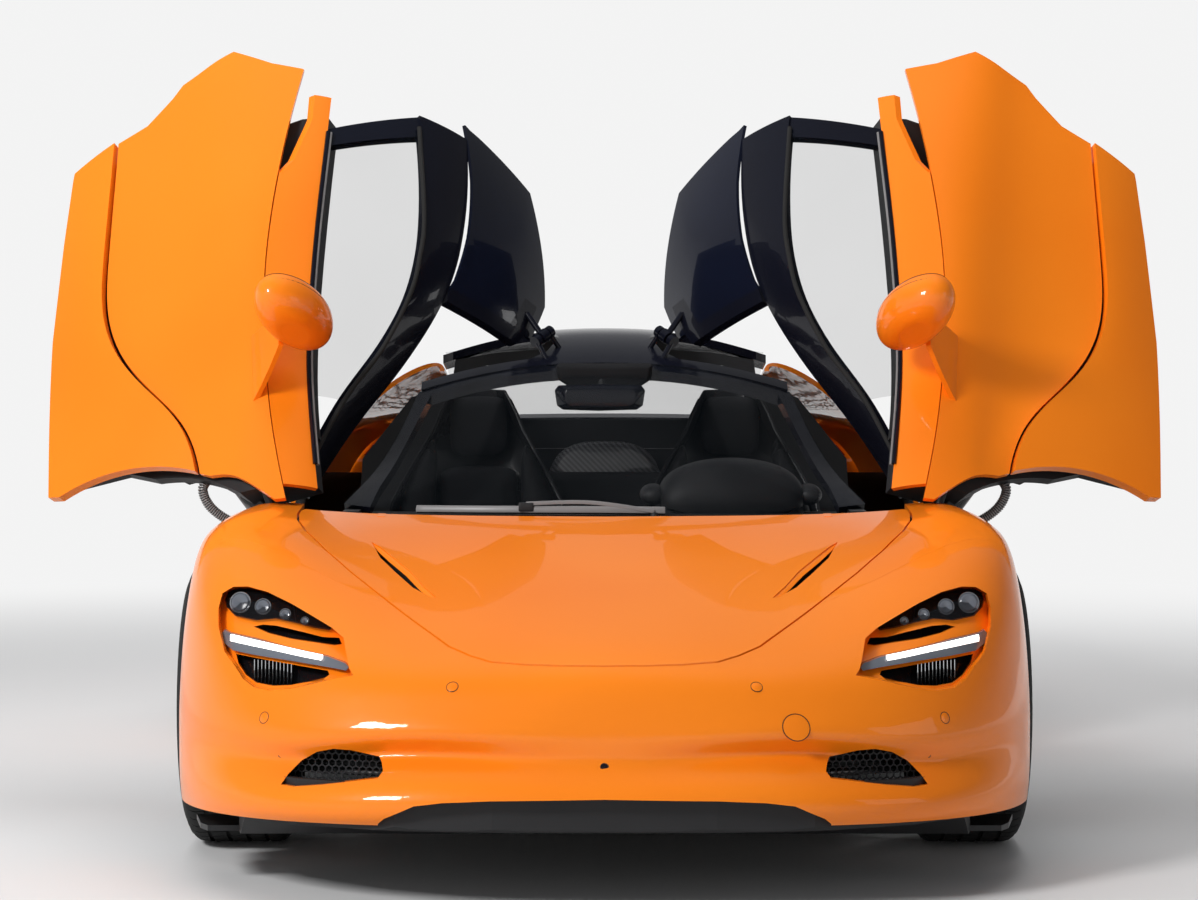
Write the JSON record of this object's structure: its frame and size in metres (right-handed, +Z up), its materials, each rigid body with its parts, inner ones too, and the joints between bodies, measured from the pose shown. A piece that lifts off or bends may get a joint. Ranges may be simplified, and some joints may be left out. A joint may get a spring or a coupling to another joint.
{
  "type": "mid-engined supercar",
  "caption": "Low two-seat mid-engined supercar with dihedral doors raised, a front luggage lid, steered front wheels and four turning wheels.",
  "frame": {"origin": "on the ground under the middle of the car's length and width", "axes": "+Y towards the tail, +X to the car's left side, +Z up; the nose points to -Y"},
  "size_m": [2.8146, 4.5598, 1.92],
  "materials": {
    "paint": "gloss orange paint",
    "dark_paint": "gloss black paint",
    "trim": "black moulded trim",
    "carbon": "carbon fibre, satin",
    "glass": "tinted glass",
    "lens": "clear lens over dark housing",
    "red_lens": "red lens",
    "leather": "black leather and suede",
    "tyre": "tyre rubber",
    "alloy": "dark cast alloy",
    "cast": "cast aluminium",
    "steel": "steel",
    "light": "white light bar"
  },
  "bodies": {
    "chassis": {"bumper_front": "paint", "bumper_rear": "paint", "cowl": "trim", "dashboard": "leather", "diffuser": "carbon", "engine": "cast", "engine_cover": "dark_paint", "exhausts": "steel", "fender_left": "paint", "fender_right": "paint", "floor": "carbon", "headlamp_left": "paint", "headlamp_lens_left": "lens", "headlamp_lens_right": "lens", "headlamp_right": "paint", "light_bar_left": "light", "light_bar_right": "light", "luggage_tub": "trim", "quarter_left": "paint", "quarter_right": "paint", "rear_screen": "glass", "rear_wing": "paint", "roof_frame": "dark_paint", "seat_left": "leather", "seat_right": "leather", "splitter": "trim", "suspension_front": "steel", "suspension_rear": "cast", "tail_lamps": "red_lens", "tub": "carbon", "windscreen": "glass"},
    "luggage_lid": {"luggage_lid": "paint", "hood_vents": "trim"},
    "steering_wheel": {"steering_wheel": "leather"},
    "door_left": {"door_skin_left": "paint", "door_shoulder_left": "paint", "door_inner_left": "trim", "door_rail_left": "dark_paint", "door_window_left": "glass", "door_roof_glass_left": "glass", "door_mirror_left": "paint"},
    "knuckle_left": {"knuckle_left": "cast"},
    "wheel_front_left": {"tyre_front_left": "tyre", "rim_front_left": "alloy"},
    "wheel_rear_left": {"tyre_rear_left": "tyre", "rim_rear_left": "alloy"},
    "door_right": {"door_skin_right": "paint", "door_shoulder_right": "paint", "door_inner_right": "trim", "door_rail_right": "dark_paint", "door_window_right": "glass", "door_roof_glass_right": "glass", "door_mirror_right": "paint"},
    "knuckle_right": {"knuckle_right": "cast"},
    "wheel_front_right": {"tyre_front_right": "tyre", "rim_front_right": "alloy"},
    "wheel_rear_right": {"tyre_rear_right": "tyre", "rim_rear_right": "alloy"}
  },
  "joints": [
    {"name": "door_left_hinge", "type": "hinge", "parent": "chassis", "child": "door_left", "pos_m": [0.792, -0.9235, 0.72], "axis": [-0.5883, 0.6893, 0.4228], "range_deg": [0, 81.4]},
    {"name": "door_right_hinge", "type": "hinge", "parent": "chassis", "child": "door_right", "pos_m": [-0.792, -0.9235, 0.72], "axis": [-0.5883, -0.6893, -0.4228], "range_deg": [0, 81.4]},
    {"name": "luggage_lid_hinge", "type": "hinge", "parent": "chassis", "child": "luggage_lid", "pos_m": [0, -1.0075, 0.728], "axis": [-1, 0, 0], "range_deg": [0, 50]},
    {"name": "steer_left", "type": "hinge", "parent": "chassis", "child": "knuckle_left", "pos_m": [0.775, -1.2395, 0.327], "axis": [0, 0, 1], "range_deg": [-30, 30]},
    {"name": "steer_right", "type": "hinge", "parent": "chassis", "child": "knuckle_right", "pos_m": [-0.775, -1.2395, 0.327], "axis": [0, 0, 1], "range_deg": [-30, 30]},
    {"name": "steering_column", "type": "hinge", "parent": "chassis", "child": "steering_wheel", "pos_m": [0.345, -0.4395, 0.69], "axis": [0, 0.9272, 0.3746], "range_deg": [-360, 360]},
    {"name": "wheel_front_left_spin", "type": "hinge", "parent": "knuckle_left", "child": "wheel_front_left", "pos_m": [0.84, -1.2395, 0.327], "axis": [1, 0, 0], "continuous": true},
    {"name": "wheel_rear_left_spin", "type": "hinge", "parent": "chassis", "child": "wheel_rear_left", "pos_m": [0.8145, 1.4305, 0.3455], "axis": [1, 0, 0], "continuous": true},
    {"name": "wheel_front_right_spin", "type": "hinge", "parent": "knuckle_right", "child": "wheel_front_right", "pos_m": [-0.84, -1.2395, 0.327], "axis": [1, 0, 0], "continuous": true},
    {"name": "wheel_rear_right_spin", "type": "hinge", "parent": "chassis", "child": "wheel_rear_right", "pos_m": [-0.8145, 1.4305, 0.3455], "axis": [1, 0, 0], "continuous": true}
  ],
  "couplings": [
    {"joint": "steer_right", "follows": "steer_left", "ratio": 1},
    {"joint": "steering_column", "follows": "steer_left", "ratio": 12}
  ]
}
